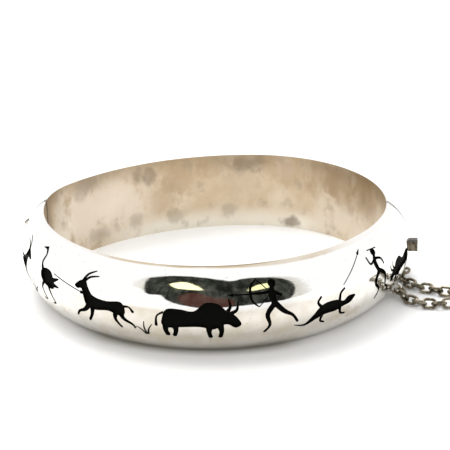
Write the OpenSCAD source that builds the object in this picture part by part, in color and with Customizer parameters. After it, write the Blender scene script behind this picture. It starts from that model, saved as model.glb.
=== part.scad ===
// Silver hinged bangle, lying on its lower rim.
// The wrist passes through along Z. The hinge is at the -X end, the clasp at the +X end,
// and both seams lie in the plane Y = 0. The front half is on the -Y side.

/* [Band] */
// Inner width, from the hinge seam to the clasp seam
inner_w = 60; // [56:1:64]
// Height of the band
band_h = 14.6; // [14:0.1:15.4]
// Depth of the domed section at its middle
dome_d = 4.2; // [4.1:0.05:4.4]
// Radius of the dome, which leaves a narrow flat land along each rim
dome_r = 8.8; // [8.7:0.1:9]
// Thickness of the silver sheet
sheet_t = 0.7; // [0.5:0.05:0.75]
// Gap between the two halves at each seam
seam_gap = 0.16; // [0.1:0.02:0.24]

/* [Oval] */
// How much more radius the front half's long arc has than its arc beside the hinge
front_grow = 4.2; // [2.8:0.7:5.6]
// How much more radius the back half's middle arc has than its arc beside the hinge
back_grow = 26; // [24:1:27]

/* [Hinge] */
// Distance from the inner wall out to the middle of the hinge pin
hinge_in = 3; // [2.9:0.05:3.1]
// Radius of the knuckles
knuckle_r = 1.2; // [1.1:0.05:1.25]
// Length of the whole barrel, which three knuckles share
barrel_l = 7.5; // [6.9:0.3:8.7]
// Radius of the hinge pin
pin_r = 0.5; // [0.4:0.05:0.6]
// Radial play of the pin in the knuckles
pin_play = 0.04; // [0.02:0.01:0.08]
// Depth of solid metal behind the hinge end of each half
hinge_block = 2.2; // [2:0.1:3]

/* [Clasp] */
// Height of the folded spring tongue
tongue_h = 4; // [3.6:0.1:4.2]
// Thickness of the tongue's strip
strip_t = 0.45; // [0.35:0.05:0.5]
// Gap between the tongue's two leaves
leaf_gap = 0.7; // [0.6:0.05:0.75]
// Length of the tongue beyond the seam, up to the middle of its fold
tongue_l = 5.7; // [5:0.1:5.8]
// Height of the thumb piece
thumb_h = 2.1; // [1.8:0.1:2.6]
// Thickness of the thumb piece along the band
thumb_t = 1.1; // [0.9:0.1:1.4]
// How far the thumb piece stands out of the dome
thumb_out = 1.3; // [1:0.1:1.8]
// Thickness of the clasp end plates
plate_t = 0.8; // [0.6:0.1:1]

/* [Safety chain] */
// Width and height that the chain takes up, with its links leaning left and right in turn
chain_w = 1.64; // [1.5:0.02:1.66]
// Radius of each soldered eye, to the middle of its wire
eye_r = 0.95; // [0.9:0.05:1.05]
// Radius of the eye's wire
eye_wire_r = 0.28; // [0.24:0.02:0.3]
// Turn of the front half at which its eye is soldered, in degrees
front_eye_turn = 163; // [160:1:166]
// Turn of the back half at which its eye is soldered, in degrees
back_eye_turn = 177.2; // [176.6:0.1:177.4]

/* [Hidden] */
$fn = 96;

silver = [0.86, 0.85, 0.83];
warm_silver = [0.78, 0.75, 0.70];
tarnished = [0.46, 0.43, 0.36];

mid_z = band_h / 2;
clear = 0.01;

// Three arcs of a half that meet where it has turned to the unit vectors m and n, and end
// square to the seam. Each is [centre, radius, direction at its start, direction at its end].
function arcs(grow, m, n) =
    let (shrink = grow * m[1] / n[1])
    let (r = (inner_w - grow * (1 + m[0]) + shrink * (1 + n[0])) / 2)
    let (c1 = [r - inner_w / 2, 0], c2 = c1 + grow * m, c3 = c2 - shrink * n)
    [[c1, r, [1, 0], m], [c2, r + grow, m, n], [c3, r + grow - shrink, n, [-1, 0]]];

// The directions are those of right triangles with whole sides, so that the arcs meet exactly
front_arcs = arcs(front_grow, [0.8, 0.6], [-0.96, 0.28]);
back_arcs = arcs(back_grow, [0.8, 0.6], [0, 1]);

hinge_x = -inner_w / 2 - hinge_in;
bore_r = pin_r + pin_play;
knuckle_l = barrel_l / 3;
pin_bevel = 0.1;
knuckle_gap = 0.05;
knuckle_bevel = 0.4;
relief_r = knuckle_r + 0.3;
relief_end = 0.4;

// The tongue's leaves are arcs about the hinge, so that they leave the slot as the bangle opens
leaf_in_r = inner_w / 2 + 0.95 - hinge_x;
leaf_out_r = leaf_in_r + strip_t + leaf_gap;
fold_r = (leaf_gap + 2 * strip_t) / 2;
fold_mid_r = leaf_in_r + fold_r;
fold_turn = asin(tongue_l / fold_mid_r);
fold_clear = 0.05;
leaf_end_turn = asin(0.35 / leaf_out_r);
root_turn = asin(0.5 / leaf_in_r);
slot_clear = 0.22;
thumb_y = -2.2;
thumb_clear = 0.15;

eye_z = eye_r + eye_wire_r + 0.12;
eye_d = 2.63;

// Route of the chain's middle line, from the back half's eye round to the front half's
chain_route = [
    [33.55, 0.79, 1.1], [33.2, -0.8, 0.94], [33.2, -2.1, 0.84], [33.85, -3.4, 0.84],
    [34.7, -4.3, 0.84], [35.6, -5.05, 0.84], [37, -5.85, 0.84], [38.7, -6.5, 0.84],
    [40.6, -7.3, 0.84], [44, -7.8, 0.84], [48, -7.5, 0.84], [52, -6.9, 0.84],
    [56, -6.6, 0.84], [59, -7.2, 0.84], [60.8, -9, 0.84], [60.8, -11.6, 0.84],
    [59, -13.4, 0.84], [56, -14, 0.84], [52, -13.4, 0.84], [48, -12.6, 0.84],
    [44, -11.95, 0.84], [41, -11.8, 0.84], [39, -12.05, 0.84], [37.5, -12.1, 0.84],
    [36, -11.9, 0.84], [34.7, -11.15, 0.84], [33.5, -10.2, 0.84], [32.75, -9.2, 0.94],
    [32.32, -7.88, 1.1]
];
chain_sides = 8;
chain_steps = 2;

// A band section at inner radius r, with its walls moved in by inset
module section(r, inset) {
    intersection() {
        translate([r + dome_d - dome_r, mid_z]) circle(r = dome_r - inset);
        translate([r + inset, 0]) square([dome_d, band_h]);
    }
}

module sweep(parts, inset) {
    for (p = parts)
        intersection() {
            translate(p[0]) rotate_extrude() section(p[1], inset);
            sector(p);
        }
}

// The wedge of space that an arc takes up, from its centre outwards
module sector(p) {
    across = p[2] + p[3];
    linear_extrude(height = band_h)
        polygon([
            p[0],
            p[0] - inner_w * p[2],
            p[0] - 2 * inner_w * across / norm(across),
            p[0] - inner_w * p[3]
        ]);
}

// Everything on one side of a seam, from y = near to far beyond the bangle
module beyond(near) {
    translate([-inner_w, near, -band_h])
        cube([2 * inner_w, inner_w, 3 * band_h]);
}

// The closed hollow between the sheets, which stops at the hinge block and the end plate
module hollow(parts) {
    difference() {
        sweep(parts, sheet_t);
        translate([-inner_w, -hinge_block, 0]) cube([inner_w, 2 * hinge_block, band_h]);
        translate([0, -plate_t, 0]) cube([inner_w, 2 * plate_t, band_h]);
    }
}

module domed_half(parts) {
    difference() {
        sweep(parts, 0);
        hollow(parts);
        beyond(-seam_gap / 2);
    }
}

// The room round the barrel between two heights, cut from the half whose knuckle isn't there
module relief(low, high) {
    translate([hinge_x, 0, low])
        cylinder(r = relief_r, h = high - low);
}

// Knuckle number 0, 1 or 2 from below
module knuckle(number) {
    low = mid_z - barrel_l / 2 + number * knuckle_l + knuckle_gap;
    tall = knuckle_l - 2 * knuckle_gap;
    foot = number == 0 ? knuckle_bevel : 0;
    top = number == 2 ? knuckle_bevel : 0;
    translate([hinge_x, 0, low]) {
        if (foot > 0) cylinder(r1 = knuckle_r - foot, r2 = knuckle_r, h = foot);
        translate([0, 0, foot]) cylinder(r = knuckle_r, h = tall - foot - top);
        if (top > 0)
            translate([0, 0, tall - top]) cylinder(r1 = knuckle_r, r2 = knuckle_r - top, h = top);
    }
}

module pin_bore() {
    translate([hinge_x, 0, mid_z - barrel_l / 2])
        cylinder(r = bore_r, h = barrel_l);
}

// A wire eye soldered edge-on to the lower part of the dome, at a turn of a half
module eye(parts, turn) {
    p = parts[2];
    spot = p[0] - (p[1] + eye_d) * [cos(turn), sin(turn)];
    translate([spot[0], spot[1], eye_z])
        rotate([90, 0, turn])
            rotate_extrude()
                translate([eye_r, 0]) circle(r = eye_wire_r);
}

// The room for the tongue in the front half's end plate, and for the thumb piece in its dome
module catch_slot() {
    room = tongue_h + 2 * slot_clear;
    width = leaf_out_r + strip_t - leaf_in_r + 2 * slot_clear;
    translate([leaf_in_r + hinge_x - slot_clear, -plate_t - clear, mid_z - room / 2])
        cube([width, 2 * plate_t, room]);
    notch = thumb_h + 2 * thumb_clear;
    translate([leaf_out_r + hinge_x, thumb_y - thumb_clear, mid_z - notch / 2])
        cube([dome_d, plate_t - thumb_y, notch]);
}

// A strip of the tongue between two turns about the hinge, from radius r outwards
module leaf(r, start, end) {
    translate([hinge_x, 0, mid_z - tongue_h / 2])
        rotate([0, 0, start])
            rotate_extrude(angle = end - start)
                translate([r, 0]) square([strip_t, tongue_h]);
}

module front_half() {
    color(silver)
        difference() {
            union() {
                difference() {
                    domed_half(front_arcs);
                    relief(mid_z - knuckle_l / 2 - knuckle_gap, mid_z + knuckle_l / 2 + knuckle_gap);
                }
                knuckle(0);
                knuckle(2);
                eye(front_arcs, front_eye_turn);
            }
            pin_bore();
            catch_slot();
        }
}

module back_half() {
    color(warm_silver) {
        difference() {
            union() {
                difference() {
                    mirror([0, 1, 0]) domed_half(back_arcs);
                    relief(mid_z - barrel_l / 2 - relief_end, mid_z - knuckle_l / 2 + knuckle_gap);
                    relief(mid_z + knuckle_l / 2 - knuckle_gap, mid_z + barrel_l / 2 + relief_end);
                }
                knuckle(1);
                mirror([0, 1, 0]) eye(back_arcs, back_eye_turn);
                leaf(leaf_in_r, -fold_turn + fold_clear, root_turn);
            }
            pin_bore();
        }
    }
}

module hinge_pin() {
    tall = barrel_l - 2 * knuckle_gap - 2 * pin_bevel;
    color(silver)
        translate([hinge_x, 0, mid_z - tall / 2]) {
            translate([0, 0, -pin_bevel]) cylinder(r1 = pin_r - pin_bevel, r2 = pin_r, h = pin_bevel);
            cylinder(r = pin_r, h = tall);
            translate([0, 0, tall]) cylinder(r1 = pin_r, r2 = pin_r - pin_bevel, h = pin_bevel);
        }
}

// The sprung leaf of the tongue, with the fold at its tip and the thumb piece near its free end
module clasp_spring() {
    reach = inner_w / 2 + dome_d + thumb_out - (leaf_out_r + hinge_x);
    color(warm_silver) {
        leaf(leaf_out_r, -fold_turn, -leaf_end_turn);
        translate([hinge_x, 0, mid_z - tongue_h / 2])
            rotate([0, 0, -fold_turn])
                translate([fold_mid_r, 0, 0])
                    rotate([0, 0, 180])
                        rotate_extrude(angle = 180)
                            translate([fold_r - strip_t, 0]) square([strip_t, tongue_h]);
        translate([leaf_out_r + hinge_x + strip_t / 3, thumb_y, mid_z - thumb_h / 2])
            cube([reach - strip_t / 3, thumb_t, thumb_h]);
    }
}

// A point at t, from 0 to 1, on the smooth curve between the route's points i and i + 1
function between(route, i, t) =
    let (n = len(route) - 1)
    let (a = route[max(i - 1, 0)], b = route[i], c = route[i + 1], d = route[min(i + 2, n)])
    b + t * ((c - a) / 2 + t * (a - 2.5 * b + 2 * c - d / 2 + t * (1.5 * (b - c) + (d - a) / 2)));

function chain_line() = concat(
    [for (i = [0 : len(chain_route) - 2], k = [0 : chain_steps - 1])
        between(chain_route, i, k / chain_steps)],
    [chain_route[len(chain_route) - 1]]);

// A closed ring of points round the line's point i
function chain_ring(line, i) =
    let (n = len(line) - 1)
    let (run = line[min(i + 1, n)] - line[max(i - 1, 0)], ahead = run / norm(run))
    let (flat = cross(ahead, [0, 0, 1]), side = flat / norm(flat), up = cross(side, ahead))
    [for (k = [0 : chain_sides - 1])
        let (a = (k + 0.5) * 360 / chain_sides)
        line[i] + chain_w / 2 / cos(180 / chain_sides) * (cos(a) * side + sin(a) * up)];

module safety_chain() {
    line = chain_line();
    rings = len(line);
    points = [for (i = [0 : rings - 1]) each chain_ring(line, i)];
    walls = [for (i = [0 : rings - 2], k = [0 : chain_sides - 1])
        let (a = i * chain_sides, b = (k + 1) % chain_sides)
        [a + k, a + b, a + chain_sides + b, a + chain_sides + k]];
    first = [for (k = [chain_sides - 1 : -1 : 0]) k];
    last = [for (k = [0 : chain_sides - 1]) (rings - 1) * chain_sides + k];
    color(tarnished)
        polyhedron(points = points, faces = concat([first], walls, [last]));
}

front_half();
back_half();
hinge_pin();
clasp_spring();
safety_chain();
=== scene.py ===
import bpy
import math
import random

import numpy as np
from mathutils import Matrix, Vector


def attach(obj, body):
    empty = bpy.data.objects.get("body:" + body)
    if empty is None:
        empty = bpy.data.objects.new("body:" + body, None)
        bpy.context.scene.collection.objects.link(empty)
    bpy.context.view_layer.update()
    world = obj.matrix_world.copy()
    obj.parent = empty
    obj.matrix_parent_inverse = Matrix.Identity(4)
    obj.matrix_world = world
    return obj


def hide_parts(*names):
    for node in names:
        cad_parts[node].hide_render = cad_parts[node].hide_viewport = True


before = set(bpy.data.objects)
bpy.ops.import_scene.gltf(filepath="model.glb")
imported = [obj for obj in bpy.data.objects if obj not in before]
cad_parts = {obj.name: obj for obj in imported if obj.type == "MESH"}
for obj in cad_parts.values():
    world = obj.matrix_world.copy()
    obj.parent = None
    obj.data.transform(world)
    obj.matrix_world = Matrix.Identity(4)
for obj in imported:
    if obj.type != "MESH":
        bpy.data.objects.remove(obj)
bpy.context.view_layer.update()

# The camera looks down on the bangle from the front, and a little from the clasp's side, as the
# picture does. It is turned slightly about its own axis.
mm = 0.001
camera_place = Vector((19.02, -227.13, 102.68)) * mm
camera_aim = Vector((1.168, 6.9, 7.3)) * mm
camera_roll = math.radians(-1.371)
bpy.ops.object.camera_add(location=camera_place)
camera = bpy.context.object
camera.data.lens = 111.12
camera.data.sensor_width = 36
camera.data.clip_start = 10 * mm
look = (camera_aim - camera_place).to_track_quat("-Z", "Y").to_matrix()
camera.rotation_euler = (look @ Matrix.Rotation(camera_roll, 3, "Z")).to_euler()
bpy.context.scene.camera = camera


# The front half: two sheets of silver soldered together, polished outside and clouded inside,
# where the wrist touches it. The outer sheet is pierced with the frieze, and the base under it is
# blackened, so the figures show black and a little sunk.
class Finish:
    """A material whose nodes are added by name, and whose values are joined by expressions."""

    def __init__(self, name, colour, roughness, metallic=1.0):
        self.material = bpy.data.materials.new(name)
        self.material.use_nodes = True
        self.tree = self.material.node_tree
        self.shader = self.tree.nodes["Principled BSDF"]
        self.set("Metallic", metallic)
        self.set("Base Color", colour)
        self.set("Roughness", roughness)

    def join(self, socket, value):
        """Links a value to a socket, or sets the socket to a plain number or colour."""
        if isinstance(value, Value):
            self.tree.links.new(value.socket, socket)
        elif isinstance(value, tuple) and len(value) < len(socket.default_value):
            socket.default_value = (*value, 1)
        else:
            socket.default_value = value

    def set(self, name, value):
        self.join(self.shader.inputs[name], value)

    def node(self, kind, inputs, output=0, **settings):
        """Adds a node, with its settings first and then the values of its sockets."""
        made = self.tree.nodes.new("ShaderNode" + kind)
        for name, value in settings.items():
            setattr(made, name, value)
        for name, value in inputs.items():
            self.join(made.inputs[name], value)
        return Value(self, made.outputs[output])

    def place(self, scale=(1, 1, 1), shift=(0, 0, 0)):
        """Object coordinates in millimetres, stretched by scale and moved by shift."""
        here = self.node("TexCoord", {}, output="Object")
        sizes = tuple(s / mm for s in scale)
        return self.node("Mapping", {"Vector": here, "Scale": sizes, "Location": shift})

    def along(self, axis):
        """Millimetres along X, Y or Z."""
        return self.node("SeparateXYZ", {"Vector": self.place()}, output=axis)

    def noise(self, size, detail=3.0, rough=0.5, scale=(1, 1, 1), shift=(0, 0, 0)):
        """Soft noise from 0 to 1, with lumps of about the given size in millimetres."""
        spot = self.place(scale, shift)
        inputs = {"Vector": spot, "Scale": 1 / size, "Detail": detail, "Roughness": rough}
        return self.node("TexNoise", inputs)

    def step(self, value, low, high, start=0.0, end=1.0):
        """Goes smoothly from start to end as the value goes from low to high."""
        inputs = {"Value": value, "From Min": low, "From Max": high, "To Min": start, "To Max": end}
        return self.node("MapRange", inputs, interpolation_type="SMOOTHSTEP")

    def distance(self, point, scale=(1, 1, 1)):
        """Millimetres from a point, with each axis counted as much as scale says."""
        middle = tuple(c * s for c, s in zip(point, scale))
        inputs = {0: self.place(scale), 1: middle}
        return self.node("VectorMath", inputs, output="Value", operation="DISTANCE")

    def patch(self, centre, reach, wobble, scale=(1, 1, 1)):
        """A soft-edged patch about a point, in millimetres, its outline made uneven by wobble."""
        clear, full = 1.25 * reach, 0.35 * reach
        return self.step(self.distance(centre, scale) + wobble * reach, clear, full)

    def mix(self, share, first, second):
        """The first colour where share is 0, the second where it is 1."""
        inputs = {0: share, 6: first, 7: second}
        return self.node("Mix", inputs, output=2, data_type="RGBA", clamp_factor=True)

    def bump(self, *layers):
        """Raises the surface by each height, given with its depth in millimetres."""
        normal = None
        for height, depth in layers:
            inputs = {"Height": height, "Distance": depth * mm}
            if normal:
                inputs["Normal"] = normal
            normal = self.node("Bump", inputs)
        self.set("Normal", normal)


class Value:
    """The output of a node, for which sums and products add Math nodes."""

    def __init__(self, finish, socket):
        self.finish, self.socket = finish, socket

    def math(self, operation, first, second=0.0):
        return self.finish.node("Math", {0: first, 1: second}, operation=operation)

    def __add__(self, other):
        return self.math("ADD", self, other)

    def __sub__(self, other):
        return self.math("SUBTRACT", self, other)

    def __rsub__(self, other):
        return self.math("SUBTRACT", other, self)

    def __mul__(self, other):
        return self.math("MULTIPLY", self, other)

    def __abs__(self):
        return self.math("ABSOLUTE", self)

    __radd__, __rmul__ = __add__, __mul__


band_height = 14.6
mid_height = band_height / 2
hinge_place = (-33, 0, 0)
bright = (0.96, 0.95, 0.93)
# The dome's lower half takes the next two tints: partly tarnish, partly painted shade and a painted warm
# reflection of the table.
film_and_shade_white = (0.61, 0.555, 0.47)
cream = (0.74, 0.65, 0.49)
brown = (0.30, 0.22, 0.14)


def seam_dirt_and_painted_rim(finish, clouds, colour):
    """Lays dull brown dirt in the two seams, and a painted reflection along the front half's upper rim:
    a warm line with a darker line on its top face. Returns how far the dirt covers, and the colour
    with both laid over it."""
    rim_reflection_tan, seam_brown = (0.54, 0.40, 0.22), (0.10, 0.075, 0.05)
    front_middle = (3, -25, band_height)
    across, height = finish.along("X"), finish.along("Z")
    wider = finish.step(abs(height - mid_height), 5.5, 2, 0, 0.25) * finish.step(across, 0, 20)
    wider = wider + finish.step(across, 0, -20, 0, 0.15)
    smears = finish.noise(1.3, detail=4, rough=0.65, scale=(1, 1, 0.6), shift=(4, 1, 7))
    seam = finish.step(abs(finish.along("Y")) - 0.5 * smears - wider, 0.42, 0.05)
    seam = seam * finish.step(smears, 0.3, 0.6, 0.78, 1) * finish.step(across, -10, 10, 0.95, 0.85)
    # Along the front half's upper rim: a painted reflection of the rim's edge, a warm line that is wider
    # towards the clasp, with a darker line on the top face.
    front_rim = finish.step(across, -21, -14, 0.1, 0.85) * finish.step(across, 25, 17, 0.1, 1)
    front_rim = front_rim * finish.step(finish.along("Y"), -5, -15, 0.2, 1)
    broader = finish.step(across, 2, 14, 0, 0.3)
    painted_edge = finish.step(height + 0.3 * clouds + broader, band_height - 0.12, band_height + 0.1)
    painted_edge = painted_edge * front_rim * finish.step(clouds, 0.3, 0.6, 0.55, 0.95)
    edge_painted_colour = finish.mix(painted_edge, colour, rim_reflection_tan)
    topmost = finish.step(height, band_height - 0.06, band_height - 0.01)
    topmost = topmost * finish.step(finish.distance(front_middle), 11, 5)
    edge_painted_colour = finish.mix(topmost * 0.8, edge_painted_colour, brown)
    finish.set("Metallic", 1 - 0.9 * seam)
    return seam, finish.mix(seam, edge_painted_colour, seam_brown)


def polished_silver():
    finish = Finish("polished_silver", bright, 0.06)
    grime_brown, dull_white = (0.42, 0.34, 0.24), (0.66, 0.61, 0.53)
    # Three patches of grime near the front half's foot, each with its centre and its reach
    grimy = (((22.6, -22.5, 4.5), 5), ((-28.5, -15.5, 4.5), 4), ((-21.5, -22.8, 3.5), 4.5))
    clouds = finish.noise(9, detail=4)
    patches = finish.noise(3, detail=4, rough=0.6, shift=(8, 2, 6))
    specks = finish.noise(0.5, detail=2, shift=(3, 7, 1))
    scuffs = finish.noise(1.6, detail=5, rough=0.7, scale=(1, 1, 6))
    height = finish.along("Z")
    # Below the middle the dome is tinted warmer and darker: partly a tarnish film, partly painted shade
    # for a dimmer mirrored table. Lower still, the cream is tarnish with a painted warm reflection of the
    # table.
    low = finish.step(height + 3 * clouds, 9.5, 3.5)
    film_and_painted_shade = finish.step(height + clouds, 9.8, 8.7) * finish.step(height + 2 * clouds, 1.5, 5, 0.3, 1)
    film_and_painted_shade = film_and_painted_shade * finish.step(abs(finish.along("X")), 28, 12, 0.5, 1)
    warm = finish.mix(film_and_painted_shade * finish.step(patches, 0.3, 0.7, 0.7, 1), bright, film_and_shade_white)
    warm = finish.mix(low * finish.step(patches, 0.45, 0.75) * 0.5, warm, cream)
    speckled = finish.step(specks, 0.66, 0.74) * finish.step(clouds, 0.35, 0.6)
    speckled = finish.mix(speckled * 0.4, warm, brown)
    for centre, reach in grimy:
        grime = finish.patch(centre, reach, patches - 0.5)
        grime = grime * finish.step(patches + 0.3 * specks, 0.6, 0.8)
        speckled = finish.mix(grime * 0.4, speckled, grime_brown)
    # Browner along the bottom edge: painted shade for the mirrored shadow on the table under it, with
    # some tarnish.
    painted_edge = finish.step(height + 1.5 * clouds, 2.4, 0.7)
    edge_painted_colour = finish.mix(painted_edge * 0.3, speckled, brown)
    from_pin = finish.distance(hinge_place, scale=(1, 1, 0))
    hinge = finish.step(from_pin, 1.9, 1.3) * finish.step(abs(height - mid_height), 4.8, 4.4)
    edge_painted_colour = finish.mix(hinge * finish.step(patches, 0.3, 0.7, 0.5, 1), edge_painted_colour, dull_white)
    seam, coloured = seam_dirt_and_painted_rim(finish, clouds, edge_painted_colour)
    finish.set("Base Color", coloured)
    worn = finish.step(scuffs, 0.4, 0.8, 0.035, 0.11)
    finish.set("Roughness", worn + low * 0.06 + hinge * 0.12 + seam * 0.5)
    dents = finish.noise(6, detail=1)
    finish.bump((dents, 0.03), (scuffs, 0.002))
    return finish.material


def clouded_inside():
    finish = Finish("clouded_inside", cream, 0.3)
    clouds = finish.noise(9, detail=5, rough=0.55, shift=(11, 3, 5))
    smudges = finish.noise(3.0, detail=4, rough=0.6, scale=(1, 1, 0.8), shift=(2, 9, 4))
    grain = finish.noise(0.5, detail=4, rough=0.6, shift=(5, 5, 5))
    wobble = finish.step(smudges, 0.25, 0.75, -0.5, 0.5)
    sand, light_sand = (0.56, 0.445, 0.31), (0.72, 0.615, 0.475)
    base = finish.mix(finish.step(clouds, 0.34, 0.64), sand, light_sand)
    pale, painted_light_white, floor_reflection_white = (0.74, 0.655, 0.555), (0.90, 0.85, 0.76), (0.94, 0.91, 0.82)
    umber, grey, rim_brown = (0.40, 0.28, 0.17), (0.24, 0.19, 0.14), (0.28, 0.21, 0.13)
    across, height = finish.along("X"), finish.along("Z")
    # Paler at the wall's foot: a painted reflection of the bright table below.
    low = finish.step(height + 2 * clouds, 5.5, 1.8) * finish.step(abs(across + 1), 24, 15)
    base = finish.mix(low * 0.75, base, floor_reflection_white)
    # Patches of each colour, where the tarnish is worn or has gathered, and pale patches of painted light
    # at the wall's two ends: each has its centre, its reach, how much it is flattened, and how much of
    # its colour shows
    pale_patches = (
        ((-25, 11.5, 8), 8, 0.8, 0.8), ((-19, 16.5, 7), 6, 0.8, 0.8), ((25.9, 13.8, 4), 5, 1, 0.6),
        ((20.5, 19.5, 3), 5, 1, 0.5), ((11.5, 24, 12.8), 2.5, 1, 0.7))
    # Pale patches at the wall's two ends are painted light, brightening where the ends mirror each other
    # dark.
    painted_light_patches = (((29.5, 5, 5), 4, 0.6, 0.6), ((-29, 5.5, 7), 3.5, 0.4, 0.5))
    umber_patches = (
        ((-8.5, 22.5, 11), 4.5, 1, 0.45), ((-11.5, 21.3, 7.5), 3.5, 1, 0.35),
        ((3, 24.8, 9.5), 5, 1, 0.25), ((18.4, 21, 12), 4.5, 1, 0.55),
        ((22.5, 17.8, 11.5), 4.5, 1, 0.65), ((26, 13.5, 11), 4, 0.8, 0.5),
        ((-2, 24.2, 12.6), 4, 1.5, 0.35), ((9.5, 24.4, 12.4), 4.5, 1.5, 0.4),
        ((14, 23.2, 11), 4, 1, 0.35))
    grey_patches = (
        ((-16.3, 18.7, 12), 1.3, 0.7, 0.6), ((-14.2, 19.8, 12.2), 1.3, 0.7, 0.55),
        ((-16.8, 18.3, 3.4), 1.6, 1, 0.35), ((-9.3, 22.1, 2.9), 2.4, 1.6, 0.35),
        ((-23.1, 13.3, 2.6), 2.8, 1.5, 0.4), ((0.5, 24.6, 3.3), 1.8, 1, 0.35),
        ((12.6, 23.7, 1.1), 1.8, 1.3, 0.75), ((4.9, 24.9, 12.9), 4, 2, 0.6),
        ((-25, 11.5, 13.2), 4.5, 2, 0.5), ((-29.9, 1.5, 7), 1.6, 0.2, 0.3))
    for colour, patches in ((pale, pale_patches), (painted_light_white, painted_light_patches),
                            (umber, umber_patches), (grey, grey_patches)):
        for centre, reach, flat, share in patches:
            patch = finish.patch(centre, reach, wobble, scale=(1, 1, flat))
            base = finish.mix(patch * share, base, colour)
    base = finish.mix(finish.step(smudges, 0.54, 0.76) * 0.4, base, grey)
    rim = finish.step(height + 4 * clouds, 13.0, 17.0)
    base = finish.mix(rim * 0.5, base, rim_brown)
    seam, coloured = seam_dirt_and_painted_rim(finish, clouds, base)
    finish.set("Base Color", coloured)
    finish.set("Roughness", finish.step(clouds + 0.4 * grain, 0.4, 0.9, 0.26, 0.44) + seam * 0.3)
    finish.bump((clouds, 0.02), (grain, 0.004))
    return finish.material


def blackened_silver():
    finish = Finish("blackened_silver", (0.004, 0.004, 0.004), 0.6, metallic=0.0)
    finish.set("Specular IOR Level", 0.02)
    grain = finish.noise(0.25, detail=3)
    finish.set("Base Color", finish.mix(grain, (0.001, 0.0012, 0.001), (0.005, 0.005, 0.004)))
    finish.set("Roughness", finish.step(grain, 0.3, 0.7, 0.5, 0.75))
    finish.bump((grain, 0.012))
    return finish.material


silver, inside, black = polished_silver(), clouded_inside(), blackened_silver()

dome_radius = 8.8
dome_depth = 4.2
half_width = 30.0


def oval_arcs(grow, first, second):
    """Three arcs of a half, each as (centre, inner radius, turn at its start and at its end). The
    middle one's radius is larger by grow, and they meet at the turns first and second."""
    shrink = grow * math.sin(first) / math.sin(second)
    radius = half_width - (grow * (1 + math.cos(first)) - shrink * (1 + math.cos(second))) / 2
    centres = [np.array((radius - half_width, 0.0))]
    centres.append(centres[0] + grow * np.array((math.cos(first), math.sin(first))))
    centres.append(centres[1] - shrink * np.array((math.cos(second), math.sin(second))))
    radii = (radius, radius + grow, radius + grow - shrink)
    return list(zip(centres, radii, (0, first, second), (first, second, math.pi)))


front_arcs = oval_arcs(4.2, math.atan2(0.6, 0.8), math.atan2(0.28, -0.96))
back_arcs = oval_arcs(26.0, math.atan2(0.6, 0.8), math.pi / 2)


def off_inner_wall(point):
    """How far a point in metres is from the inner wall, seen from above, in millimetres."""
    x, y = point.x / mm, -abs(point.y) / mm
    slack = 0.01
    gaps = [half_width]
    for centre, radius, start, end in front_arcs if point.y < 0 else back_arcs:
        turn = math.atan2(centre[1] - y, centre[0] - x)
        if start - slack <= turn <= end + slack:
            gaps.append(abs(math.hypot(x - centre[0], y - centre[1]) - radius))
    return min(gaps)


def select_only(*pieces):
    bpy.ops.object.select_all(action="DESELECT")
    for piece in pieces:
        piece.select_set(True)
    bpy.context.view_layer.objects.active = pieces[0]


def solid_copy(node, name, *materials):
    """A piece of its own made from a CAD node, with its loose triangles joined."""
    piece = bpy.data.objects.new(name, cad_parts[node].data.copy())
    bpy.context.scene.collection.objects.link(piece)
    select_only(piece)
    bpy.ops.object.mode_set(mode="EDIT")
    bpy.ops.mesh.select_all(action="SELECT")
    bpy.ops.mesh.remove_doubles(threshold=0.001 * mm)
    bpy.ops.mesh.customdata_custom_splitnormals_clear()
    bpy.ops.object.mode_set(mode="OBJECT")
    piece.data.materials.clear()
    for material in materials:
        piece.data.materials.append(material)
    return piece


inside_slot = 1


def finish_inner_wall(piece):
    """Gives the upright faces along the wrist's side the clouded finish, the piece's second."""
    for face in piece.data.polygons:
        upright, on_wall = abs(face.normal.z) < 0.1, off_inner_wall(face.center) < 0.05
        if upright and on_wall:
            face.material_index = inside_slot


def on_dome(flat):
    """Bends flat points (along the band, up the band, out of it), in millimetres, onto the front
    dome. Returns the places in metres and the directions square to the dome."""
    along, up, out = flat.T
    place, square = np.zeros_like(flat), np.zeros_like(flat)
    reached = 0.0
    for centre, radius, start, end in front_arcs:
        length = (radius + dome_depth) * (end - start)
        here = (along >= reached) & (along <= reached + length)
        turn = start + (along - reached) / (radius + dome_depth)
        lean = up / dome_radius
        reach = radius + dome_depth - dome_radius + (dome_radius + out) * np.cos(lean)
        spot = (centre[0] - reach * np.cos(turn), centre[1] - reach * np.sin(turn),
                mid_height + (dome_radius + out) * np.sin(lean))
        face = (-np.cos(turn) * np.cos(lean), -np.sin(turn) * np.cos(lean), np.sin(lean))
        place[here] = np.stack(spot, axis=1)[here]
        square[here] = np.stack(face, axis=1)[here]
        reached += length
    return place * mm, square


overlay_start, overlay_end = 3.0, 101.0
overlay_half = 7.4
overlay_thick = 0.4
channel_top = 0.3
cell = 0.5
sharp_edge = math.radians(25)


def flat_slab(name, low, high, material):
    """A flat slab over the frieze's area, made of small cells so that it can be bent."""
    length, width = overlay_end - overlay_start, 2 * overlay_half
    bpy.ops.mesh.primitive_grid_add(
        x_subdivisions=round(length / cell), y_subdivisions=round(width / cell), size=1,
        location=((overlay_start + overlay_end) / 2, 0, high))
    slab = bpy.context.object
    slab.name = name
    slab.scale = (length, width, 1)
    bpy.ops.object.transform_apply(location=True, rotation=True, scale=True)
    bpy.ops.object.mode_set(mode="EDIT")
    bpy.ops.mesh.select_all(action="SELECT")
    bpy.ops.mesh.extrude_region_move(TRANSFORM_OT_translate={"value": (0, 0, low - high)})
    bpy.ops.mesh.select_all(action="SELECT")
    bpy.ops.mesh.normals_make_consistent(inside=False)
    bpy.ops.object.mode_set(mode="OBJECT")
    slab.data.materials.append(material)
    return slab


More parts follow.
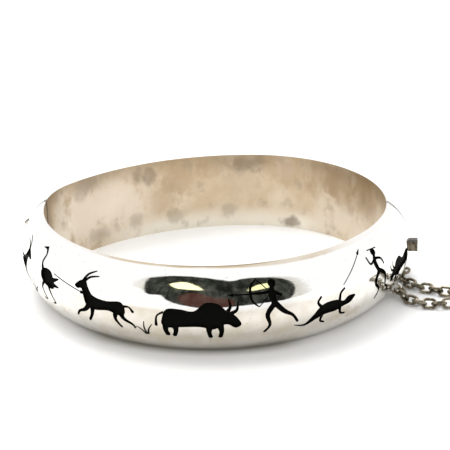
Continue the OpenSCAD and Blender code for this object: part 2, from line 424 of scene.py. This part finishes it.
def subtract(piece, *cutters):
    """Cuts the cutters out of the piece, and their material comes with the new faces."""
    tools = bpy.data.collections.new("cutters")
    for cutter in cutters:
        tools.objects.link(cutter)
    select_only(piece)
    cut = piece.modifiers.new("cut", "BOOLEAN")
    cut.operand_type, cut.collection = "COLLECTION", tools
    cut.operation, cut.solver, cut.material_mode = "DIFFERENCE", "EXACT", "TRANSFER"
    bpy.ops.object.modifier_apply(modifier="cut")
    for cutter in cutters:
        bpy.data.objects.remove(cutter)
    bpy.data.collections.remove(tools)


def curve_through(points, steps, loop=False):
    """A smooth line through the points, of any number of coordinates, closed if loop is true."""
    points = [np.array(p, float) for p in points]
    count, line = len(points), []
    for i in range(count if loop else count - 1):
        near = [i + k for k in (-1, 0, 1, 2)]
        a, b, c, d = (points[k % count if loop else min(max(k, 0), count - 1)] for k in near)
        for t in np.arange(steps) / steps:
            line.append(b + t * ((c - a) / 2 + t * (a - 2.5 * b + 2 * c - d / 2
                                                    + t * (1.5 * (b - c) + (d - a) / 2))))
    return line if loop else line + [points[-1]]


def body(*points):
    """A closed saw line through the points."""
    return curve_through(points, steps=4, loop=True)


def limb(*points):
    """The saw line round a stroke whose points hold its width as a third number."""
    line = np.array(curve_through(points, steps=4))
    run = np.gradient(line[:, :2], axis=0)
    run /= np.linalg.norm(run, axis=1)[:, None]
    side = np.stack((-run[:, 1], run[:, 0]), axis=1) * line[:, 2:] / 2
    tip = line[-1, :2] + run[-1] * line[-1, 2] / 3
    return [*(line[:, :2] + side), tip, *(line[:, :2] - side)[::-1]]


def disc(x, y, radius, sides=16):
    turns = [2 * math.pi * k / sides for k in range(sides)]
    return [(x + radius * math.cos(turn), y + radius * math.sin(turn)) for turn in turns]


antelope = [
    body((-4.4, 3.3), (-3.6, 4.6), (-1, 4.4), (1.5, 4.8), (2.7, 5.9), (3.4, 7), (4.4, 7), (5.7, 6),
         (5.1, 5.5), (4.2, 5.6), (3.7, 4.4), (3.1, 3), (1.4, 2.5), (-1.2, 2.8), (-2.8, 2.3), (-4, 2.3)),
    limb((2.3, 3.5, 1.2), (3.5, 2.2, 0.75), (5, 1.5, 0.45), (5.7, 0.6, 0.4)),
    limb((1.8, 3.4, 1.2), (2.2, 1.6, 0.65), (3.2, 0.1, 0.45)),
    limb((-3.5, 3.5, 1.5), (-3.9, 1.9, 0.75), (-5.4, 0.9, 0.45), (-5.8, 0.2, 0.4)),
    limb((-2.9, 3.4, 1.3), (-2.4, 1.6, 0.65), (-3.3, 0, 0.45)),
    limb((4.1, 6.7, 0.6), (3.2, 8.1, 0.42), (1.6, 8.9, 0.2)),
    limb((3.8, 6.7, 0.5), (2.7, 7.7, 0.38), (0.9, 8.1, 0.2)),
    limb((-4.1, 3.9, 0.5), (-5.1, 3.9, 0.3), (-5.8, 3.1, 0.5)),
]
bull = [
    body((-5.7, 3.1), (-5, 4.9), (-2.8, 5.1), (-0.6, 4.9), (1.2, 6.3), (3.2, 6.2), (4.6, 5.1),
         (6, 4.3), (7, 2.8), (6.1, 2.1), (4.8, 2.8), (3.6, 2.4), (2.6, 1.8), (0.4, 2.2), (-2.4, 2),
         (-4.4, 1.7), (-5.6, 2.1)),
    limb((-4.8, 2.9, 1.6), (-5.1, 1.4, 0.9), (-4.7, 0.2, 0.8)),
    limb((-3.6, 2.6, 1.4), (-3.4, 1.2, 0.8), (-3.7, 0.1, 0.7)),
    limb((2, 2.8, 1.4), (1.9, 1.3, 0.8), (2.2, 0.1, 0.7)),
    limb((3.5, 2.9, 1.4), (3.9, 1.5, 0.8), (3.7, 0.2, 0.7)),
    limb((5.1, 4.6, 0.7), (6.2, 5.2, 0.5), (6.4, 6.5, 0.2)),
    limb((4.7, 4.9, 0.7), (5.2, 5.8, 0.45), (4.9, 7, 0.2)),
    limb((-5.4, 4.4, 0.4), (-6.5, 3.6, 0.3), (-6.6, 1.9, 0.55)),
]
archer = [
    disc(0.1, 8.3, 0.68),
    limb((0.1, 7.9, 0.6), (0.3, 6.6, 1.2), (-0.1, 4.8, 0.85)),
    limb((-0.1, 5.1, 0.95), (1.2, 3.4, 0.8), (0.8, 1.4, 0.5), (1.7, 0.1, 0.45)),
    limb((-0.1, 5.1, 0.95), (-1.5, 3.6, 0.8), (-3, 2.6, 0.5), (-3.9, 1.2, 0.45)),
    limb((0.2, 7.1, 0.55), (1.8, 6.9, 0.42), (3.5, 7, 0.4)),
    limb((0.3, 7.2, 0.5), (-1.3, 6.2, 0.4)),
    limb((-1.4, 6.25, 0.4), (0.5, 6.8, 0.34)),
    limb((2.7, 9.2, 0.2), (3.6, 8.2, 0.36), (3.8, 6.9, 0.42), (3.5, 5.7, 0.36), (2.5, 4.8, 0.2)),
    limb((2.7, 9.2, 0.16), (0.4, 6.8, 0.16)),
    limb((0.4, 6.8, 0.16), (2.5, 4.8, 0.16)),
    limb((0.4, 6.8, 0.22), (7, 7, 0.22)),
    limb((6.5, 7, 0.6), (7.4, 7, 0.12)),
]
tall_bird = [
    body((-2.6, 4), (-1.4, 5.7), (0.7, 5.8), (1.9, 4.8), (1.2, 3.5), (-0.8, 2.9), (-2.3, 3.1)),
    limb((1, 4.9, 1.1), (2, 6.2, 0.5), (1.7, 7.8, 0.42), (2.4, 8.8, 0.6)),
    limb((2.2, 8.8, 0.65), (3.6, 8.5, 0.14)),
    limb((0.2, 3.9, 0.8), (1.2, 2.1, 0.45), (0.3, 0.2, 0.36), (1.3, 0, 0.28)),
    limb((-0.6, 3.7, 0.8), (-1.5, 2, 0.45), (-2.4, 0.5, 0.36), (-1.6, 0.1, 0.28)),
    limb((-1.9, 4.5, 1), (-3.6, 5.3, 0.25)),
    limb((-1.9, 3.9, 1), (-3.8, 3.9, 0.25)),
]
lizard = [
    limb((-7, 1.3, 0.16), (-5.2, 0.6, 0.5), (-3.4, 1.4, 1.1), (-1.4, 2.2, 2), (0.9, 1.9, 2),
         (2.4, 1.6, 1), (3.7, 1.8, 1.4), (4.9, 2, 0.45)),
    limb((-1.6, 2.5, 0.65), (-2.4, 3.8, 0.45), (-1.6, 4.6, 0.38)),
    limb((-1.7, 1.7, 0.65), (-2.3, 0.3, 0.45), (-1.5, -0.5, 0.38)),
    limb((1.6, 2.3, 0.65), (2.1, 3.6, 0.45), (3.1, 4.1, 0.38)),
    limb((1.6, 1.4, 0.65), (1.7, 0, 0.45), (2.7, -0.6, 0.38)),
]
dancer = [
    disc(0.2, 8.4, 0.66),
    limb((-1, 8.95, 0.2), (1.5, 8.95, 0.2)),
    limb((0.2, 7.9, 0.55), (0.5, 6.6, 0.95), (-0.2, 5, 0.75)),
    limb((-0.2, 5.2, 0.85), (0.9, 3.3, 0.65), (-0.3, 1.8, 0.45), (0.3, 0.2, 0.4)),
    limb((-0.2, 5.2, 0.85), (-1.9, 4.2, 0.65), (-2.2, 2.2, 0.45), (-3.2, 1.5, 0.38)),
    limb((0.3, 7.3, 0.5), (1.7, 6.6, 0.38), (2.4, 7.9, 0.34)),
    limb((0.3, 7.3, 0.5), (-1.2, 7, 0.38), (-1.9, 5.9, 0.34)),
]
spear = [
    limb((-4, -1.1, 0.2), (0, 0, 0.22), (4, 1.1, 0.2)),
    limb((3.5, 0.97, 0.7), (4.9, 1.35, 0.14)),
]
grass = [
    limb((0, 0, 0.4), (-0.3, 1.2, 0.3), (-1.1, 2.3, 0.16)),
    limb((0.2, 0, 0.4), (0.5, 1.5, 0.3), (0.3, 2.9, 0.16)),
    limb((0.4, 0, 0.4), (1.1, 1.1, 0.3), (2, 1.8, 0.16)),
]

# Each figure with its place along the band, the height of its feet, its turn in degrees, its
# size, and whether it faces the hinge
frieze = (
    (antelope, 9.5, -2.9, -3, 0.95, False),
    (grass, 16.2, -3.4, 0, 1, False),
    (tall_bird, 21.5, -2.9, -3, 1, True),
    (spear, 27.6, 2.2, -24, 0.9, False),
    (antelope, 35.5, -3.1, 3, 1, True),
    (grass, 43.4, -3.6, 5, 0.9, True),
    (bull, 51.5, -3.6, -2, 1, False),
    (archer, 64, -3.2, 0, 1, True),
    (lizard, 74.5, -2.9, 9, 1, False),
    (spear, 79.4, 4.2, 22, 0.8, False),
    (dancer, 85, -3.2, -5, 1, True),
    (bull, 94.5, -2.6, 8, 0.72, True),
)


def saw_out(outline, along, feet, turn, size, mirrored):
    """A prism through the overlay, on a saw line that is turned, sized and moved to its place."""
    bpy.ops.mesh.primitive_circle_add(vertices=len(outline), fill_type="NGON")
    hole = bpy.context.object
    swing = Matrix.Rotation(math.radians(turn), 2)
    for corner, (x, y) in zip(hole.data.vertices, outline):
        spot = swing @ Vector((-x if mirrored else x, y)) * size
        corner.co = (along + spot.x, feet + spot.y, -2 * overlay_thick)
    bpy.ops.object.mode_set(mode="EDIT")
    bpy.ops.mesh.select_all(action="SELECT")
    bpy.ops.mesh.extrude_region_move(TRANSFORM_OT_translate={"value": (0, 0, 3 * overlay_thick)})
    bpy.ops.mesh.select_all(action="SELECT")
    bpy.ops.mesh.normals_make_consistent(inside=False)
    bpy.ops.object.mode_set(mode="OBJECT")
    hole.data.materials.append(black)
    return hole


def bend(piece):
    """Bends a flat piece onto the dome, and returns the dome's directions at its points."""
    flat = np.zeros(len(piece.data.vertices) * 3)
    piece.data.vertices.foreach_get("co", flat)
    place, square = on_dome(flat.reshape(-1, 3))
    piece.data.vertices.foreach_set("co", place.ravel())
    piece.data.update()
    return square


bpy.ops.object.select_all(action="DESELECT")
overlay = flat_slab("front_overlay", -overlay_thick, 0, silver)
subtract(overlay, *[saw_out(outline, *setting) for shapes, *setting in frieze for outline in shapes])
on_top = [corner.co.z > -overlay_thick / 2 for corner in overlay.data.vertices]
outer = [all(on_top[v] for v in face.vertices) for face in overlay.data.polygons]
square = bend(overlay)
select_only(overlay)
bpy.ops.object.shade_smooth()
overlay.data.normals_split_custom_set([
    tuple(square[v]) if domed else tuple(face.normal)
    for face, domed in zip(overlay.data.polygons, outer) for v in face.vertices])

front = solid_copy("front_half", "front_base", silver, inside, black)
finish_inner_wall(front)
channel = flat_slab("overlay_channel", -overlay_thick, channel_top, black)
bend(channel)
subtract(front, channel)
select_only(front)
bpy.ops.object.shade_smooth_by_angle(angle=sharp_edge)
for piece in (front, overlay):
    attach(piece, "front")
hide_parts("front_half")

# The back half: the same hollow domed band of sheet silver without the overlay, polished outside
# and clouded inside. Its end plates are soldered in, and it turns on the hinge pin.
back = solid_copy("back_half", "back_shell", silver, inside)
finish_inner_wall(back)
select_only(back)
bpy.ops.object.shade_smooth_by_angle(angle=sharp_edge)
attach(back, "back")
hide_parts("back_half")

# The hinge pin: a silver wire through the three knuckles, held in them flush. It stays as the
# CAD has it.
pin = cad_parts["hinge_pin"]
pin.data.materials.clear()
pin.data.materials.append(silver)


# The clasp's spring: a folded strip of hard silver with a small thumb piece soldered on. Both
# are brown with tarnish, since no polish reaches them, and the thumb piece is greyer on top.
def tarnished_strip():
    finish = Finish("tarnished_strip", brown, 0.35)
    smears = finish.noise(0.7, detail=4, rough=0.6, scale=(1, 1, 0.4))
    grain = finish.noise(0.15, detail=3)
    dark, light, thumb_grey = (0.07, 0.055, 0.035), (0.28, 0.24, 0.175), (0.13, 0.13, 0.14)
    browned = finish.mix(finish.step(smears, 0.38, 0.62), dark, light)
    thumb_top = finish.step(finish.along("Z"), mid_height + 0.6, mid_height + 0.9)
    finish.set("Base Color", finish.mix(thumb_top * 0.7, browned, thumb_grey))
    finish.set("Roughness", finish.step(grain, 0.3, 0.7, 0.3, 0.5))
    finish.bump((smears, 0.02), (grain, 0.004))
    return finish.material


spring = solid_copy("clasp_spring", "clasp_tongue", tarnished_strip())
select_only(spring)
bpy.ops.object.shade_smooth_by_angle(angle=sharp_edge)
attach(spring, "spring")
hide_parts("clasp_spring")

# The safety chain: oval links of tarnished silver wire, which lean left and right in turn, as a
# cable chain does on a table. Its first link hangs in the back half's eye.
chain_route = (
    (33.55, 0.79, 1.2), (33.2, -0.8, 0.94), (33.2, -2.1, 0.84), (33.85, -3.4, 0.84),
    (34.7, -4.3, 0.84), (35.6, -5.05, 0.84), (37, -5.85, 0.84), (38.7, -6.5, 0.84),
    (40.6, -7.3, 0.84), (44, -7.8, 0.84), (48, -7.5, 0.84), (52, -6.9, 0.84),
    (56, -6.6, 0.84), (59, -7.2, 0.84), (60.7, -9, 0.84), (60.7, -11.6, 0.84),
    (59, -13.4, 0.84), (56, -14, 0.84), (52, -13.4, 0.84), (48, -12.6, 0.84),
    (44, -11.95, 0.84), (41, -11.8, 0.84), (39, -12.05, 0.84), (37.5, -12.1, 0.84),
    (36, -11.9, 0.84), (34.7, -11.15, 0.84), (33.5, -10.2, 0.84), (32.75, -9.2, 0.94),
    (32.32, -7.88, 1.2),
)
wire = 0.52
link_length = 2.78
link_width = 2.12
link_count = 41
eased_links = 3
# How far a link leans to its side, and how much this varies, in degrees
lean = 38
lean_play = 4


def tarnished_links():
    finish = Finish("tarnished_links", brown, 0.3)
    smears = finish.noise(1.4, detail=4, rough=0.6)
    grain = finish.noise(0.2, detail=3)
    dark, light = (0.12, 0.10, 0.065), (0.42, 0.375, 0.29)
    finish.set("Base Color", finish.mix(finish.step(smears, 0.36, 0.66), dark, light))
    finish.set("Roughness", finish.step(grain, 0.3, 0.7, 0.24, 0.42))
    finish.bump((grain, 0.004))
    return finish.material


line = np.array(curve_through(chain_route, steps=12))
travelled = np.concatenate(([0], np.cumsum(np.linalg.norm(np.diff(line, axis=0), axis=1))))
pitch = travelled[-1] / (link_count - 1)


def one_link():
    """A wire ring drawn out into an oval, lying flat at the origin along X."""
    ring = (link_width - wire) / 2
    bpy.ops.mesh.primitive_torus_add(major_radius=ring * mm, minor_radius=wire / 2 * mm,
                                     major_segments=24, minor_segments=10)
    link = bpy.context.object
    for corner in link.data.vertices:
        corner.co.x += math.copysign((link_length - link_width) / 2 * mm, corner.co.x)
    bpy.ops.object.shade_smooth()
    return link


def place_on_line(distance):
    return np.array([np.interp(distance, travelled, line[:, axis]) for axis in range(3)])


def link_at(pattern, number):
    """A copy of the pattern at its place along the chain. Towards the eyes, each second link turns
    flat and the ones between turn upright."""
    spot = place_on_line(number * pitch)
    before, after = (place_on_line((number + share) * pitch) for share in (-0.4, 0.4))
    run = after - before
    ease = min(number / eased_links, (link_count - 1 - number) / eased_links, 1)
    angle = lean + (1 - ease) * (90 - lean) if number % 2 else -lean * ease
    angle = math.radians(angle + random.uniform(-lean_play, lean_play) * ease)
    lowest = (link_width - wire) / 2 * abs(math.sin(angle)) + wire / 2
    spot[2] = max(spot[2], lowest)
    turn = Matrix.Rotation(math.atan2(run[1], run[0]), 4, "Z") @ Matrix.Rotation(angle, 4, "X")
    link = pattern.copy()
    link.data = pattern.data.copy()
    link.data.transform(Matrix.Translation(Vector(spot) * mm) @ turn)
    bpy.context.scene.collection.objects.link(link)
    return link


random.seed(7)
pattern = one_link()
pattern.data.materials.append(tarnished_links())
first_link, *other_links = [link_at(pattern, number) for number in range(link_count)]
bpy.data.objects.remove(pattern)
first_link.name = "back_eye_link"
select_only(*other_links)
bpy.ops.object.join()
chain = bpy.context.object
chain.name = "chain_links"
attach(chain, "front")
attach(first_link, "back")
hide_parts("safety_chain")


# The surroundings: a white table in a white room, a soft light above, and a dark shape in front
# with two pale streaks, which the polished dome mirrors as a long dark band. Another shape behind
# does the same for the back half.
middle = (0, 0, 0)
foot_half_width, foot_half_depth = 32, 28.5
opening_half_width, opening_half_depth = 30, 25
table_width = 6000


def white_table():
    """White, with a painted shadow close under the front half, and a painted glow of light in the
    opening's back.
    """
    white, shade, light = (0.92, 0.92, 0.915), (0.40, 0.385, 0.34), (1, 1, 0.98)
    finish = Finish("white_table", white, 0.4, metallic=0)
    across, inwards = finish.along("X"), finish.along("Y")
    from_foot = finish.distance(middle, scale=(1 / foot_half_width, 1 / foot_half_depth, 0))
    # A painted shadow on the table close under the front half's foot.
    painted_shadow = finish.step(from_foot, 1.09, 0.99) * finish.step(from_foot, 0.9, 0.97)
    painted_shadow = painted_shadow * finish.step(inwards, -8, -18) * finish.step(abs(across + 3), 22, 12)
    finish.set("Base Color", finish.mix(painted_shadow * 0.75, white, shade))
    opening = finish.distance(middle, scale=(1 / opening_half_width, 1 / opening_half_depth, 0))
    # A painted glow of light on the table at the back of the opening.
    painted_glow = finish.step(opening, 0.5, 0.98) * finish.step(opening, 1.06, 1.02)
    finish.set("Emission Color", finish.mix(painted_glow * finish.step(inwards, 2, 10), (0, 0, 0), light))
    finish.set("Emission Strength", 0.28)
    return finish.material


bpy.ops.mesh.primitive_plane_add(size=table_width * mm, location=middle)
table = bpy.context.object
table.name = "table_top"
table.data.materials.append(white_table())


def card(name, distance, colour, *corners, glow=0.0, mottle=0.0, fade=None):
    """An upright flat shape that only the metal mirrors, through corners given across and up, at a
    distance in front of the bangle, or behind it where that is negative, in millimetres. fade is
    its middle, and the distances to the sides of it where it is clear and where it is whole."""
    outline = curve_through(corners, steps=5, loop=True)
    bpy.ops.mesh.primitive_circle_add(vertices=len(outline), fill_type="NGON")
    made = bpy.context.object
    made.name = name
    for corner, (x, z) in zip(made.data.vertices, outline):
        corner.co = (x * mm, -distance * mm, z * mm)
    finish = Finish(name, colour, 0.8, metallic=0)
    finish.set("Specular IOR Level", 0.0)
    if mottle:
        cloud = 0.5 * finish.noise(60, detail=5, rough=0.7, scale=(1, 1, 0.3))
        cloud = cloud + 0.5 * finish.noise(16, detail=5, rough=0.7, scale=(1, 1, 0.07))
        greenish = (1, 1.06, 0.9)
        light = tuple(c + mottle * share for c, share in zip(colour, greenish))
        finish.set("Base Color", finish.mix(finish.step(cloud, 0.42, 0.66), colour, light))
    if fade:
        centre, clear, whole = fade
        cloud = finish.noise(60, detail=5, rough=0.6)
        aside = abs(finish.along("X") - centre)
        finish.set("Alpha", finish.step(aside + 150 * cloud, clear, whole))
    if glow:
        finish.set("Emission Color", colour)
        finish.set("Emission Strength", glow)
    made.data.materials.append(finish.material)
    made.visible_camera = made.visible_diffuse = made.visible_shadow = False


card("grey_haze", 405, (0.56, 0.54, 0.50), (-440, 380), (-450, 600), (-370, 770), (-286, 832),
     (-22, 714), (103, 542), (300, 690), (490, 660), (700, 500), (800, 300), (690, 130), (470, 40),
     (213, 18), (-95, 33), (-200, 165), (-300, 230), mottle=0.12, fade=(80, 690, 460))
card("dark_shape", 400, (0.008, 0.009, 0.007), (-309, 263), (-380, 598), (-335, 729), (-286, 828),
     (-155, 814), (-22, 710), (103, 538), (188, 640), (272, 671), (420, 610), (480, 400),
     (440, 170), (370, 25), (213, 20), (61, 5), (-29, 3), (-95, 35), (-158, 89), (-200, 167), (-266, 167),
     mottle=0.07)
card("left_streak", 395, (0.78, 0.76, 0.44), (-190, 424), (-126, 486), (-60, 370), (-28, 275),
     (-97, 292), (-147, 320), glow=0.5)
card("right_streak", 395, (0.66, 0.66, 0.34), (160, 250), (230, 370), (316, 400), (289, 297),
     (216, 250), glow=0.5)
card("red_smear", 395, (0.05, 0.02, 0.015), (-111, 169), (-50, 226), (16, 150), (89, 106),
     (87, 20), (-11, 14), (-89, 38), mottle=0.035)
card("rear_haze", -455, (0.45, 0.43, 0.40), (-200, 340), (-215, 560), (-150, 820), (40, 900),
     (180, 800), (215, 540), (190, 340), (0, 310))
card("rear_shape", -450, (0.02, 0.02, 0.018), (-170, 380), (-180, 560), (-110, 760), (40, 820),
     (140, 700), (175, 520), (150, 380), (0, 350), mottle=0.1)

world = bpy.data.worlds.new("white_room")
world.use_nodes = True
world.node_tree.nodes["Background"].inputs["Color"].default_value = (1, 1, 1, 1)
world.node_tree.nodes["Background"].inputs["Strength"].default_value = 1.07
bpy.context.scene.world = world

# The light is far enough back for the flat upper rims not to mirror its edge
softbox_place = Vector((-150, 230, 580)) * mm
softbox_tilt = (-0.37, -0.24, 0)
softbox_width = 420
bpy.ops.object.light_add(type="AREA", location=softbox_place, rotation=softbox_tilt)
softbox = bpy.context.object
softbox.data.size = softbox_width * mm
softbox.data.energy = 3.2
bpy.context.scene.view_settings.view_transform = "Standard"
